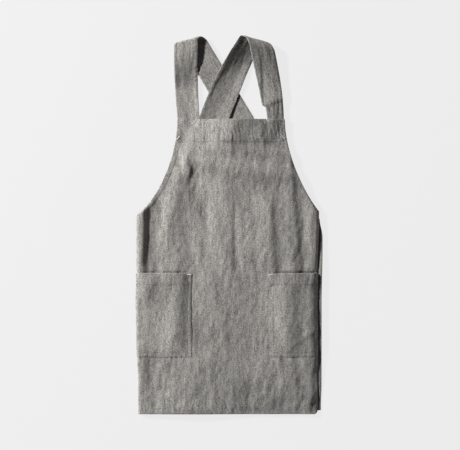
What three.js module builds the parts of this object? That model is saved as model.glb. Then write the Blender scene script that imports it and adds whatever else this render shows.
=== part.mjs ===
// A cross-back smock apron of heavy chambray, laid flat on its back with its bib up.
// Millimetres: X runs across the apron, Y runs from hem to shoulders, Z is up from the surface it lies on.
// The front panel lies over two narrow back panels, and each strap loops over at the shoulder,
// crosses behind the bib and ends on the back panel of the other side.
import * as THREE from "three";

// Overall sizes
const LENGTH = 926; // hem to the top of the shoulder folds
const WIDTH = 453; // across the skirt, pockets and back panels included
const BODY_LENGTH = 720; // hem to the bib's top edge
const BIB_WIDTH = 262;
const BIB_SHIFT = 3.7; // the bib lies this far to the right of the middle
const ARMHOLE_LEFT = 234; // from the bib's top edge down to the underarm
const ARMHOLE_RIGHT = 225;

// Cloth
const CLOTH = 1.4; // one layer
const STRAP_THICKNESS = 2.6; // a strap is folded from several layers
const SEAM_GAP = 0.3; // between two pieces that are sewn together
const HEM_EXTRA = 0.9; // how much thicker a turned hem is

// Heights of the front panel's middle layer above the surface
const SKIRT_HEIGHT = 9.6;
const BIB_HEIGHT = 14;
const CREASE_HEIGHT = 4; // how far the bib's middle crease stands above its sides
const BIB_TENT = 11; // how much more it stands up along the bib's top hem
const FOLD_HEIGHT = 6.5; // the tallest soft fold
const BIB_SINK = 5; // how far a dip may take the bib below its even height

// Hems and pockets
const HEM_DEPTH = 22;
const BIB_HEM_DEPTH = 55;
const POCKET_HEIGHT = 203;
const POCKET_BASE = 140; // above the hem
const POCKET_WIDTH = 133; // from the front panel's left edge to the pocket's inner seam
const POCKET_WIDTH_RIGHT = 113;
const POCKET_HEM_DEPTH = 27;
const POCKET_ROOM = 5.4; // clear height inside a pocket
const POCKET_SLOPE = 26; // from a pocket's seam to where it has its full height

// Back panels
const BACK_WIDTH_LEFT = 160;
const BACK_WIDTH_RIGHT = 152;
const BACK_RISE = 92; // the strap's corner stands this far above the underarm
const BACK_LIP = 11.5; // the right back panel shows this far beyond the front panel
const BACK_HEM_LIFT = 9; // the back hems end this far above the front hem

// Straps
const STRAP_WIDTH = 62;
const STRAP_LAP = 38; // sewn behind the bib
const LOOP_RADIUS = 8; // of the fold at the shoulder
const LOOP_LIFT = 5; // the lower side of that fold above the surface

const HEM_Y = -LENGTH / 2;
const SHOULDER_Y = LENGTH / 2;
const BIB_Y = HEM_Y + BODY_LENGTH;
const POCKET_BOTTOM_Y = HEM_Y + POCKET_BASE;
const POCKET_TOP_Y = POCKET_BOTTOM_Y + POCKET_HEIGHT;

// The pocket adds its own thickness outside the front panel's left edge.
const POCKET_STAND = CLOTH + SEAM_GAP;
const LEFT_X = -WIDTH / 2 + POCKET_STAND + CLOTH / 2;
const RIGHT_X = WIDTH / 2 - BACK_LIP;
const FRONT_WIDTH = RIGHT_X - LEFT_X;

// One row for each side: where the underarm corner is, the armhole's curve, and how the edge turns down.
const SIDES = {
  left: { underarm: BODY_LENGTH - ARMHOLE_LEFT, edge: LEFT_X, bib: BIB_SHIFT - BIB_WIDTH / 2, bend: 1.95, hook: 0.15, round: 13 },
  right: { underarm: BODY_LENGTH - ARMHOLE_RIGHT, edge: RIGHT_X, bib: BIB_SHIFT + BIB_WIDTH / 2, bend: 1.8, hook: 0.05, round: 11 },
};
const HOOK_POWER = 9; // how tightly the armhole turns out at the underarm corner
const UNDERARM_FLARE = 3.5; // how far the right edge stands out at the underarm, down to the pocket's mouth

// Soft folds of the front panel: x in half widths and y in body lengths above the hem, for both ends,
// the height in FOLD_HEIGHT, and the width of the left and right flank in half widths of the apron.
// A fold that runs down starts at its top end. One that runs across starts at its left end, and left is its lower flank.
const FOLDS = [
  { name: "side valley low", x0: -0.862, y0: 0.633, x1: -0.868, y1: 0.523, height: -0.90, left: 0.043, right: 0.153 },
  { name: "side valley high", x0: -0.785, y0: 0.710, x1: -0.789, y1: 0.514, height: -0.57, left: 0.069, right: 0.089 },
  { name: "left hollow", x0: -0.317, y0: 0.765, x1: -0.523, y1: 0.466, height: -0.64, left: 0.108, right: 0.221 },
  { name: "left flank", x0: -0.541, y0: 0.821, x1: -0.652, y1: 0.658, height: 0.92, left: 0.094, right: 0.086 },
  { name: "centre ridge", x0: -0.347, y0: 0.620, x1: -0.118, y1: 0.317, height: 0.48, left: 0.125, right: 0.134 },
  { name: "middle swell", x0: -0.024, y0: 0.730, x1: 0.204, y1: 0.534, height: 1.00, left: 0.221, right: 0.171 },
  { name: "upper cross ridge", x0: -0.504, y0: 0.900, x1: 0.470, y1: 0.885, height: 0.63, left: 0.090, right: 0.059 },
  { name: "lower cross ridge", x0: -0.168, y0: 0.850, x1: 0.717, y1: 0.800, height: 0.61, left: 0.087, right: 0.091 },
  { name: "right pull", x0: 0.659, y0: 0.807, x1: 0.703, y1: 0.617, height: 0.80, left: 0.182, right: 0.058 },
  { name: "right swell", x0: 0.400, y0: 0.624, x1: 0.620, y1: 0.302, height: 1.00, left: 0.201, right: 0.200 },
  { name: "hem diagonal", x0: 0.114, y0: 0.123, x1: 0.404, y1: 0.122, height: 1.00, left: 0.221, right: 0.177 },
  { name: "left pocket ridge", x0: -0.542, y0: 0.474, x1: -0.603, y1: 0.274, height: 0.70, left: 0.094, right: 0.086 },
  { name: "right pocket ridge", x0: 0.684, y0: 0.516, x1: 0.650, y1: 0.301, height: 0.64, left: 0.116, right: 0.079 },
  { name: "bib left dip", x0: -0.265, y0: 1.000, x1: -0.541, y1: 1.007, height: -1.00, left: 0.221, right: 0.203 },
  { name: "left pocket dip", x0: -0.874, y0: 0.269, x1: -0.795, y1: 0.056, height: -0.36, left: 0.070, right: 0.221 },
  { name: "hem corner dip", x0: 0.962, y0: 0.108, x1: 0.962, y1: -0.007, height: -1.00, left: 0.206, right: 0.221 },
  { name: "bib hollow", x0: -0.368, y0: 1.007, x1: -0.555, y1: 0.879, height: -0.56, left: 0.219, right: 0.221 },
  { name: "cross swell", x0: -0.204, y0: 0.848, x1: 0.201, y1: 0.811, height: 1.00, left: 0.098, right: 0.090 },
  { name: "left low swell", x0: -0.497, y0: 0.276, x1: -0.106, y1: 0.117, height: 1.00, left: 0.220, right: 0.187 },
  { name: "hem right dip", x0: 0.652, y0: 0.032, x1: 0.708, y1: -0.007, height: -1.00, left: 0.221, right: 0.221 },
  { name: "right wedge", x0: 0.438, y0: 0.684, x1: 0.454, y1: 0.541, height: 0.67, left: 0.140, right: 0.058 },
  { name: "bib edge dip", x0: -0.580, y0: 1.000, x1: -0.618, y1: 0.848, height: -0.93, left: 0.071, right: 0.206 },
  { name: "right armhole dip", x0: 0.621, y0: 0.947, x1: 0.793, y1: 0.859, height: -1.00, left: 0.221, right: 0.153 },
  { name: "left low diagonal", x0: -0.214, y0: 0.170, x1: -0.612, y1: 0.046, height: 0.79, left: 0.131, right: 0.217 },
  { name: "belly swell", x0: -0.124, y0: 0.611, x1: 0.020, y1: 0.484, height: 0.79, left: 0.177, right: 0.099 },
  { name: "left pocket swell", x0: -0.798, y0: 0.218, x1: -0.480, y1: 0.180, height: 0.98, left: 0.109, right: 0.144 },
];
const FOLD_END = 0.044; // in half widths: how softly a fold runs out
const FOLD_TAPER = 0.4; // and this share of its length is added to that

const smooth = (low, high, v) => {
  const t = Math.min(1, Math.max(0, (v - low) / (high - low)));
  return t * t * (3 - 2 * t);
};
const mix = (a, b, t) => a + (b - a) * t;
// v where it is well above low, and softly no lower than low.
const atLeast = (low, v) => low + Math.log1p(Math.exp(v - low));

// How far above the flat cloth the soft folds lift it at a point.
function foldLift(x, y) {
  const half = WIDTH / 2;
  let lift = 0;
  for (const f of FOLDS) {
    const ax = f.x0 * half;
    const ay = HEM_Y + f.y0 * BODY_LENGTH;
    const dx = f.x1 * half - ax;
    const dy = HEM_Y + f.y1 * BODY_LENGTH - ay;
    const long = Math.hypot(dx, dy);
    const along = ((x - ax) * dx + (y - ay) * dy) / long;
    const across = ((x - ax) * dy - (y - ay) * dx) / long;
    const flank = (across < 0 ? f.right : f.left) * half;
    const past = Math.max(0, -along, along - long) / (FOLD_END * half + FOLD_TAPER * long);
    lift += f.height * FOLD_HEIGHT * Math.exp(-((across / flank) ** 2) - past * past);
  }
  return lift;
}

// The front panel's outline: where an edge lies at a height y.
function edgeX(side, y) {
  const { underarm, edge, bib, bend, hook } = SIDES[side];
  const corner = HEM_Y + underarm;
  const t = Math.min(1, Math.max(0, (y - corner) / (BIB_Y - corner)));
  const share = (1 - hook) * (1 - (1 - t) ** bend) + hook * (1 - (1 - t) ** HOOK_POWER);
  const flare = side === "right" ? UNDERARM_FLARE * smooth(POCKET_TOP_Y, corner, y) : 0;
  return mix(edge + flare, bib, share);
}

// The panel's turned edges end this far above the surface, on the back panels' seams.
const seamHeight = { left: CLOTH + 1.8 * SEAM_GAP, right: 2 * CLOTH + 1.8 * SEAM_GAP };

// How much of a pocket's full room there is at a point, 0 at its seams and 1 inside.
function pocketShare(side, x, y) {
  const inner = side === "left" ? LEFT_X + POCKET_WIDTH - x : x - (RIGHT_X - POCKET_WIDTH_RIGHT);
  const outer = side === "left" ? x - LEFT_X : RIGHT_X - x;
  return (
    smooth(0, POCKET_SLOPE, inner) *
    smooth(0, POCKET_SLOPE, outer) *
    smooth(0, POCKET_SLOPE, y - POCKET_BOTTOM_Y)
  );
}

// The height of the front panel's middle layer, with no pocket pressing on it.
const TENT_FALL = 40; // the crease stands lower again this far below the bib's hem
function plainHeight(x, y) {
  const bibShare = smooth(HEM_Y + SIDES.left.underarm, BIB_Y, y);
  const tent = smooth(BIB_Y - BIB_HEM_DEPTH - TENT_FALL, BIB_Y - BIB_HEM_DEPTH, y) * BIB_TENT;
  const nearCrease = Math.max(0, 1 - Math.abs(x - BIB_SHIFT) / (BIB_WIDTH / 2));
  const crease = nearCrease * (bibShare * CREASE_HEIGHT + tent);
  return mix(SKIRT_HEIGHT, BIB_HEIGHT, bibShare) + crease + atLeast(-BIB_SINK * bibShare, foldLift(x, y));
}

// The same inside a pocket, where the cloth lies lower to make room, fading out above the pocket's mouth.
function frontHeight(x, y) {
  const above = 1 - smooth(0, POCKET_SLOPE * 1.5, y - POCKET_TOP_Y);
  const sunk = Math.max(pocketShare("left", x, y), pocketShare("right", x, y)) * above;
  return mix(plainHeight(x, y), SKIRT_HEIGHT, sunk);
}

// Columns of the front panel, each a share of its width, with the share of a full turn up from the side seam.
const ROUND_STEPS = 4;
function columns(middleSteps) {
  const list = [];
  const add = (share, left, right) => list.push({ share, left, right });
  const turns = [...Array(ROUND_STEPS).keys()].map((i) => ((i * Math.PI) / 2) / ROUND_STEPS);
  for (const a of turns) add((SIDES.left.round * (1 - Math.cos(a))) / FRONT_WIDTH, Math.sin(a), 1);
  const stops = [
    SIDES.left.round / FRONT_WIDTH,
    POCKET_WIDTH / FRONT_WIDTH,
    1 - POCKET_WIDTH_RIGHT / FRONT_WIDTH,
    1 - SIDES.right.round / FRONT_WIDTH,
  ];
  stops.slice(0, -1).forEach((from, k) => {
    for (let i = 0; i < middleSteps[k]; i++) add(mix(from, stops[k + 1], i / middleSteps[k]), 1, 1);
  });
  add(stops[3], 1, 1);
  for (const a of turns.reverse()) add(1 - (SIDES.right.round * (1 - Math.cos(a))) / FRONT_WIDTH, 1, Math.sin(a));
  return list;
}
const COLUMN_STEPS = [11, 11, 9];
const COLUMNS = columns(COLUMN_STEPS);
const LEFT_POCKET_COLUMN = ROUND_STEPS + COLUMN_STEPS[0];
const RIGHT_POCKET_COLUMN = LEFT_POCKET_COLUMN + COLUMN_STEPS[1];

// Rows of the front panel from hem to bib: each stretch has its own number of steps.
const HEM_STEP = 2.5; // a hem's edge falls away over this distance
const STRETCHES = [
  { to: () => HEM_Y + HEM_DEPTH, steps: 1 },
  { to: () => HEM_Y + HEM_DEPTH + HEM_STEP, steps: 1 },
  { to: () => POCKET_BOTTOM_Y, steps: 5 },
  { to: () => POCKET_TOP_Y - POCKET_HEM_DEPTH, steps: 7 },
  { to: () => POCKET_TOP_Y, steps: 2 },
  { to: (side) => HEM_Y + SIDES[side].underarm, steps: 6 },
  { to: () => BIB_Y - BIB_HEM_DEPTH - HEM_STEP, steps: 8 },
  { to: () => BIB_Y - BIB_HEM_DEPTH, steps: 1 },
  { to: () => BIB_Y, steps: 3 },
];
function rows() {
  const list = [{ left: HEM_Y, right: HEM_Y }];
  for (const { to, steps } of STRETCHES) {
    const from = list[list.length - 1];
    for (let i = 1; i <= steps; i++) {
      list.push({ left: mix(from.left, to("left"), i / steps), right: mix(from.right, to("right"), i / steps) });
    }
  }
  return list;
}
const ROWS = rows();
const POCKET_FIRST_ROW = STRETCHES.slice(0, 3).reduce((n, s) => n + s.steps, 0);
const POCKET_LAST_ROW = POCKET_FIRST_ROW + STRETCHES[3].steps + STRETCHES[4].steps;

// The right end of the front hem is rounded.
const HEM_CORNER = 9;
const ARMHOLE_SETTLE = 60; // the armhole edge stands clear of the surface this far above the underarm

// A point of the front panel's middle layer. height gives the cloth's height at a place.
function frontPoint(column, row, height) {
  const y0 = mix(row.left, row.right, column.share);
  const fromHem = 1 - smooth(0, HEM_DEPTH, y0 - HEM_Y);
  const y = y0 + HEM_CORNER * (1 - column.right) * fromHem;
  const x = mix(edgeX("left", row.left), edgeX("right", row.right), column.share);
  let z = height(x, y);
  for (const side of ["left", "right"]) {
    const above = smooth(0, ARMHOLE_SETTLE, row[side] - (HEM_Y + SIDES[side].underarm));
    z = mix(seamHeight[side], z, mix(column[side], 1, above));
  }
  return new THREE.Vector3(x, y, z);
}

// A closed sheet from a grid of middle points: each vertex moves along the surface's normal by its thickness.
// thickness gives how far the upper and the lower face lie above and below the middle points.
// part picks the stretch of columns and rows that the sheet covers, so that its normals match its neighbours'.
function sheetGeometry(grid, thickness, part = {}) {
  const { firstColumn = 0, lastColumn = grid.length - 1, firstRow = 0, lastRow = grid[0].length - 1 } = part;
  const at = (i, j) => grid[Math.min(grid.length - 1, Math.max(0, i))][Math.min(grid[0].length - 1, Math.max(0, j))];
  const across = lastColumn - firstColumn + 1;
  const along = lastRow - firstRow + 1;
  const tops = [];
  const bottoms = [];
  for (let i = firstColumn; i <= lastColumn; i++) {
    for (let j = firstRow; j <= lastRow; j++) {
      const u = at(i + 1, j).clone().sub(at(i - 1, j));
      const v = at(i, j + 1).clone().sub(at(i, j - 1));
      const normal = u.cross(v).normalize();
      const { over, under } = thickness(i, j);
      tops.push(at(i, j).clone().addScaledVector(normal, over));
      bottoms.push(at(i, j).clone().addScaledVector(normal, -under));
    }
  }
  const positions = [];
  const triangle = (a, b, c) => positions.push(...a.toArray(), ...b.toArray(), ...c.toArray());
  const quad = (a, b, c, d) => {
    triangle(a, b, c);
    triangle(a, c, d);
  };
  const index = (i, j) => i * along + j;
  for (let i = 0; i + 1 < across; i++) {
    for (let j = 0; j + 1 < along; j++) {
      const ring = [index(i, j), index(i + 1, j), index(i + 1, j + 1), index(i, j + 1)];
      quad(...ring.map((k) => tops[k]));
      quad(...ring.reverse().map((k) => bottoms[k]));
    }
  }
  const rim = [];
  for (let i = 0; i + 1 < across; i++) rim.push(index(i, 0));
  for (let j = 0; j + 1 < along; j++) rim.push(index(across - 1, j));
  for (let i = across - 1; i > 0; i--) rim.push(index(i, along - 1));
  for (let j = along - 1; j > 0; j--) rim.push(index(0, j));
  rim.forEach((k, n) => {
    const next = rim[(n + 1) % rim.length];
    quad(bottoms[k], bottoms[next], tops[next], tops[k]);
  });
  const geometry = new THREE.BufferGeometry();
  geometry.setAttribute("position", new THREE.Float32BufferAttribute(positions, 3));
  geometry.computeVertexNormals();
  return geometry;
}

const CHAMBRAY = { color: 0x8a8884, roughness: 0.95, metalness: 0, flatShading: false };
const apron = new THREE.Group();
apron.name = "smock_apron";
function addPiece(name, geometry) {
  const mesh = new THREE.Mesh(geometry, new THREE.MeshStandardMaterial(CHAMBRAY));
  mesh.name = name;
  apron.add(mesh);
  return mesh;
}

const evenly = (thickness) => () => ({ over: thickness / 2, under: thickness / 2 });

// Front panel: bib and skirt in one piece, its hems turned to the inside
function frontPanel() {
  const grid = COLUMNS.map((c) => ROWS.map((r) => frontPoint(c, r, frontHeight)));
  const hemmed = (i, j) => {
    const y = mix(ROWS[j].left, ROWS[j].right, COLUMNS[i].share);
    const low = y < HEM_Y + HEM_DEPTH + HEM_STEP / 2;
    const high = y > BIB_Y - BIB_HEM_DEPTH - HEM_STEP / 2;
    const flat = COLUMNS[i].left * COLUMNS[i].right;
    return { over: CLOTH / 2, under: CLOTH / 2 + (low || high ? HEM_EXTRA * flat : 0) };
  };
  return sheetGeometry(grid, hemmed);
}

// Patch pockets: they follow the front panel's grid, stand on it along their seams and rise between them
function pocket(side) {
  const part = {
    firstColumn: side === "left" ? 0 : RIGHT_POCKET_COLUMN,
    lastColumn: side === "left" ? LEFT_POCKET_COLUMN : COLUMNS.length - 1,
    firstRow: POCKET_FIRST_ROW,
    lastRow: POCKET_LAST_ROW,
  };
  const raised = (x, y) => {
    const low = plainHeight(x, y);
    const high = Math.max(low, SKIRT_HEIGHT + POCKET_ROOM + atLeast(0, foldLift(x, y)));
    return mix(low, high, pocketShare(side, x, y));
  };
  const grid = COLUMNS.map((c) => ROWS.map((r) => frontPoint(c, r, raised)));
  const hemmed = (i, j) => ({
    over: POCKET_STAND + CLOTH / 2 + (ROWS[j].left > POCKET_TOP_Y - POCKET_HEM_DEPTH - 1 ? HEM_EXTRA : 0),
    under: -POCKET_STAND + CLOTH / 2,
  });
  return sheetGeometry(grid, hemmed, part);
}

// Back panels: flat on the surface, with a curved top edge that rises to the strap's corner
const BACK_COLUMNS = 9;
const BACK_ROWS = 12;
const BACK_CURVE = 1.7;
const BACK_TOP_SHARE = 0.58; // of the panel's width, where the curve has reached the strap
const BACKS = {
  left: { outer: LEFT_X, width: BACK_WIDTH_LEFT, inward: 1, drop: 4, lip: 0, cut: 0 },
  right: { outer: WIDTH / 2, width: BACK_WIDTH_RIGHT, inward: -1, drop: 18, lip: BACK_LIP + SIDES.right.round, cut: 7 },
};
const backX = (side, share) => BACKS[side].outer + BACKS[side].inward * BACKS[side].width * share;
const backTop = (side, share) =>
  HEM_Y + SIDES[side].underarm - BACKS[side].drop + BACK_RISE * Math.min(1, share / BACK_TOP_SHARE) ** BACK_CURVE;
function backPanel(side) {
  const { outer, lip } = BACKS[side];
  const grid = [];
  for (let i = 0; i <= BACK_COLUMNS; i++) {
    const share = i / BACK_COLUMNS;
    const x = backX(side, share);
    const top = backTop(side, share);
    const hem = HEM_Y + BACK_HEM_LIFT;
    grid.push([]);
    const cut = i === 0 ? BACKS[side].cut * BACKS[side].inward : 0;
    for (let j = 0; j <= BACK_ROWS; j++) {
      grid[i].push(new THREE.Vector3(x + (j === BACK_ROWS ? cut : 0), mix(hem, top, j / BACK_ROWS), 0));
    }
  }
  if (side === "right") grid.reverse();
  const thickness = (i, j) => ({
    over: Math.abs(grid[i][j].x - outer) < lip ? 2 * CLOTH : CLOTH,
    under: 0,
  });
  return sheetGeometry(grid, thickness);
}

// The runs of each strap, for the middle of the line across its start and its end. x is in half bib widths from
// the bib's middle, y in shoulder heights above the bib's top edge. A back run ends on a back panel: there x is a
// share of that panel's width and y is in strap widths below its top. tilt is that line's slope in degrees, width
// is in strap widths. bow, in strap widths, is how far the run's middle bends to the right, and sway how far its
// first half does while its second half bends as far to the left. roll, in strap widths, is how much higher the
// left edge stands than the right one where the strap turns over.
const SHOULDER = LENGTH - BODY_LENGTH;
const RUNS = {
  left: {
    front: { x0: -0.763, y0: -0.183, tilt0: 3, width0: 0.84, x1: -0.837, y1: 0.923, tilt1: 15, width1: 0.94, bow: -0.064, sway: 0 },
    back: { x0: -0.694, y0: 0.908, tilt0: 14, width0: 1.02, x1: 0.671, y1: 0.26, tilt1: 32, width1: 0.98, bow: 0.02, sway: -0.006 },
    endsOn: "right",
    widens: 1, // the share of the back run within which its width changes
    lift: 0,
    roll: 0,
  },
  right: {
    front: { x0: 0.799, y0: -0.183, tilt0: 4, width0: 0.76, x1: 0.578, y1: 0.847, tilt1: -12, width1: 0.995, bow: 0.106, sway: 0.016 },
    back: { x0: 0.385, y0: 0.953, tilt0: -15, width0: 0.92, x1: 0.727, y1: 0.2, tilt1: -22, width1: 1.11, bow: -0.065, sway: -0.069 },
    endsOn: "left",
    widens: 0.4,
    lift: STRAP_THICKNESS + 3.5 * SEAM_GAP,
    roll: 0.2,
  },
};

const FRONT_STEPS = 12;
const LOOP_STEPS = 9;
const BACK_STEPS = 15;
const STRAP_COLUMNS = 4;
const LAP_SHARE = STRAP_LAP / (STRAP_LAP + SHOULDER); // of the front run, behind the bib
const FALL = 0.28; // the share of a back run in which it comes down to the surface
const STEP_ON = { from: 0.76, to: 0.87 }; // the shares of a back run where it climbs onto the back panel

const bibX = (share) => BIB_SHIFT + (share * BIB_WIDTH) / 2;
const shoulderY = (share) => BIB_Y + share * SHOULDER;

// A point of a run's plan, t along it and w across it from -0.5 to 0.5.
function runPoint(side, name, t, w) {
  const { endsOn, widens } = RUNS[side];
  const run = RUNS[side][name];
  const back = name === "back";
  const endX = back ? backX(endsOn, run.x1) : bibX(run.x1);
  const endY = back ? backTop(endsOn, 1) - run.y1 * STRAP_WIDTH : shoulderY(run.y1);
  const tilt = THREE.MathUtils.degToRad(mix(run.tilt0, run.tilt1, t));
  const width = mix(run.width0, run.width1, smooth(0, back ? widens : 1, t)) * STRAP_WIDTH;
  const bow = (4 * run.bow + 12 * (1 - 2 * t) * run.sway) * t * (1 - t) * STRAP_WIDTH;
  return new THREE.Vector2(
    mix(bibX(run.x0), endX, t) + bow + w * width * Math.cos(tilt),
    mix(shoulderY(run.y0), endY, t) + w * width * Math.sin(tilt),
  );
}

// Each strap rises from behind the bib, turns over at the shoulder and comes down to lie on the surface.
function strap(side) {
  const { front, back, lift, roll } = RUNS[side];
  const turnTilt = THREE.MathUtils.degToRad((front.tilt1 + back.tilt0) / 2);
  const out = new THREE.Vector2(-Math.sin(turnTilt), Math.cos(turnTilt));
  const lowLayer = STRAP_THICKNESS / 2;
  const foldLow = LOOP_LIFT + lift + lowLayer;
  const foldTop = foldLow + 2 * LOOP_RADIUS;
  const rolled = (w) => -w * roll * STRAP_WIDTH;
  const underBib = CLOTH / 2 + HEM_EXTRA + 2 * SEAM_GAP + lowLayer;
  const onBackPanel = CLOTH + SEAM_GAP + lowLayer;
  const frontRun = (t, w) => {
    const at = runPoint(side, "front", t, w);
    const atBib = frontHeight(at.x, Math.min(at.y, BIB_Y)) - underBib;
    return new THREE.Vector3(at.x, at.y, mix(atBib, foldTop + rolled(w), smooth(LAP_SHARE, 1, t) ** 1.4));
  };
  const turn = (t, w) => {
    const angle = t * Math.PI;
    const at = runPoint(side, "front", 1, w).lerp(runPoint(side, "back", 0, w), t);
    at.addScaledVector(out, LOOP_RADIUS * Math.sin(angle));
    return new THREE.Vector3(at.x, at.y, foldLow + rolled(w) + LOOP_RADIUS * (1 + Math.cos(angle)));
  };
  const backRun = (t, w) => {
    const at = runPoint(side, "back", t, w);
    const floor = mix(lowLayer + lift, onBackPanel, smooth(STEP_ON.from, STEP_ON.to, t));
    return new THREE.Vector3(at.x, at.y, mix(foldLow + rolled(w), floor, smooth(0, FALL, t)));
  };
  const grid = [];
  for (let i = 0; i <= STRAP_COLUMNS; i++) {
    const w = i / STRAP_COLUMNS - 0.5;
    const line = [];
    for (let k = 0; k < FRONT_STEPS; k++) line.push(frontRun(k / FRONT_STEPS, w));
    for (let k = 0; k < LOOP_STEPS; k++) line.push(turn(k / LOOP_STEPS, w));
    for (let k = 0; k <= BACK_STEPS; k++) line.push(backRun(k / BACK_STEPS, w));
    grid.push(line);
  }
  return sheetGeometry(grid, evenly(STRAP_THICKNESS));
}

addPiece("front_panel", frontPanel());
for (const side of ["left", "right"]) {
  addPiece(`back_panel_${side}`, backPanel(side));
  addPiece(`pocket_${side}`, pocket(side));
  addPiece(`strap_${side}`, strap(side));
}

export default apron;
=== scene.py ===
import math

import bpy
import numpy as np
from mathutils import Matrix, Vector


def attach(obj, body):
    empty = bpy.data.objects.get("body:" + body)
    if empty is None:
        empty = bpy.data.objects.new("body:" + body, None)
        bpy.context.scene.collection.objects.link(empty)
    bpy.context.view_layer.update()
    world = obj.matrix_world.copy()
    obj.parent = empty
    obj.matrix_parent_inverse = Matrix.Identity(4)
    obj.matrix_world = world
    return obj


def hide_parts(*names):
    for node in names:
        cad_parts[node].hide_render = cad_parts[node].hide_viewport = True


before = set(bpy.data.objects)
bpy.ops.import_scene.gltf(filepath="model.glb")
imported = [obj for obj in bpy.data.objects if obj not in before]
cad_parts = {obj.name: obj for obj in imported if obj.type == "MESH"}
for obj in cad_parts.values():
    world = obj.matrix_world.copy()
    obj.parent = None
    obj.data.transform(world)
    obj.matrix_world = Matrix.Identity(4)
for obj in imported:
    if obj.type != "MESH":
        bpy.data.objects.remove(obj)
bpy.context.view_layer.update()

SIDES = ("left", "right")

# Sizes in millimetres that the solids have too
MM = 0.001
LENGTH = 926
WIDTH = 453
BODY_LENGTH = 720
BIB_WIDTH = 262
BIB_SHIFT = 3.7  # the bib lies this far to the right of the middle
ARMHOLE = {"left": 234, "right": 225}  # from the bib's top edge down to the underarm
CLOTH = 1.4
STRAP_THICKNESS = 2.6
SEAM_GAP = 0.3
HEM_EXTRA = 0.9
SKIRT_HEIGHT = 9.6
BIB_HEIGHT = 14
CREASE_HEIGHT = 4
HEM_DEPTH = 22
BIB_HEM_DEPTH = 55
POCKET_HEIGHT = 203
POCKET_BASE = 140
POCKET_HEM_DEPTH = 27
BACK_WIDTH = {"left": 160, "right": 152}
BACK_RISE = 92
BACK_LIP = 11.5
BACK_HEM_LIFT = 9
STRAP_WIDTH = 62
LOOP_LIFT = 5

# The front's outline and how it lies
BIB_TENT = 14  # how much more the middle crease stands up along the bib's top hem
TENT_FADE = (-40, 10)  # from the bib hem's line
LOWEST = 4.6  # of the front's middle layer
HEM_CORNER = 9  # how far the hem's right corner is rounded up
ARMHOLE_SETTLE = 60  # above the underarm, where the armhole's edge lies free of the seam
UNDERARM_FLARE = {"left": -1.6, "right": 3.5}
FLARE_REACH = {"left": 14, "right": 142}
LEFT_SPREAD = 1.4
SIDE_BULGE = 2.2
BULGE_Y = -196
BULGE_REACH = 55
HEM_INSET = 3.0
HEM_INSET_FADE = (-310, -400)
BEND = {"left": 1.95, "right": 1.8}  # power of the armhole's curve
HOOK = {"left": 0.15, "right": 0.05}  # share of a sharper curve at the underarm
HOOK_POWER = 9
ROUND = {"left": 7, "right": 8}  # radius of the turn at each side seam
SIDE_LIFT = {"left": 3.4, "right": 3.0}
RIGHT_LIFT_FADE = (-440, -330)
ARMHOLE_HEM = 12.0
HEM_DOUBLED = 0.5  # how much thicker the hems' inner field shows

# Pockets
POCKET_WIDTH = {"left": 133, "right": 116}  # from the front's side edge to the pocket's inner seam
ROOM_SHOWN = 2.8
POCKET_SLOPE = 34
POCKET_SIDE_SLOPE = {"left": 26, "right": 9}
POCKET_BASE_SLOPE = 62
POCKET_TRENCH = 3  # the front sinks by this much behind a pocket
POCKET_TRENCH_REACH = 9

HEM_Y = -LENGTH / 2
BIB_Y = HEM_Y + BODY_LENGTH
SHOULDER = LENGTH - BODY_LENGTH
POCKET_BOTTOM_Y = HEM_Y + POCKET_BASE
POCKET_TOP_Y = POCKET_BOTTOM_Y + POCKET_HEIGHT
POCKET_STAND = CLOTH + SEAM_GAP
LEFT_X = -WIDTH / 2 + POCKET_STAND + CLOTH / 2 - LEFT_SPREAD
RIGHT_X = WIDTH / 2 - BACK_LIP
FRONT_WIDTH = RIGHT_X - LEFT_X
EDGE = {"left": LEFT_X, "right": RIGHT_X}
BIB_EDGE = {"left": BIB_SHIFT - BIB_WIDTH / 2, "right": BIB_SHIFT + BIB_WIDTH / 2}
UNDERARM_Y = {side: BIB_Y - ARMHOLE[side] for side in SIDES}
# Height of the front's middle layer at the side seams, over the back panels
SEAM_REST = {"left": CLOTH + 1.8 * SEAM_GAP, "right": 2 * CLOTH + 1.8 * SEAM_GAP}

# Steps between the mesh's points
CELL = 2.7
STRAP_CELL = 2.0
BACK_CELL = 4
BACK_ROWS = 150
TURN_STEPS = 8
RIM_STEPS = 3

# Distance to a line of stitches from which the material takes no notice of it
SEAM_FAR = 20

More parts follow.
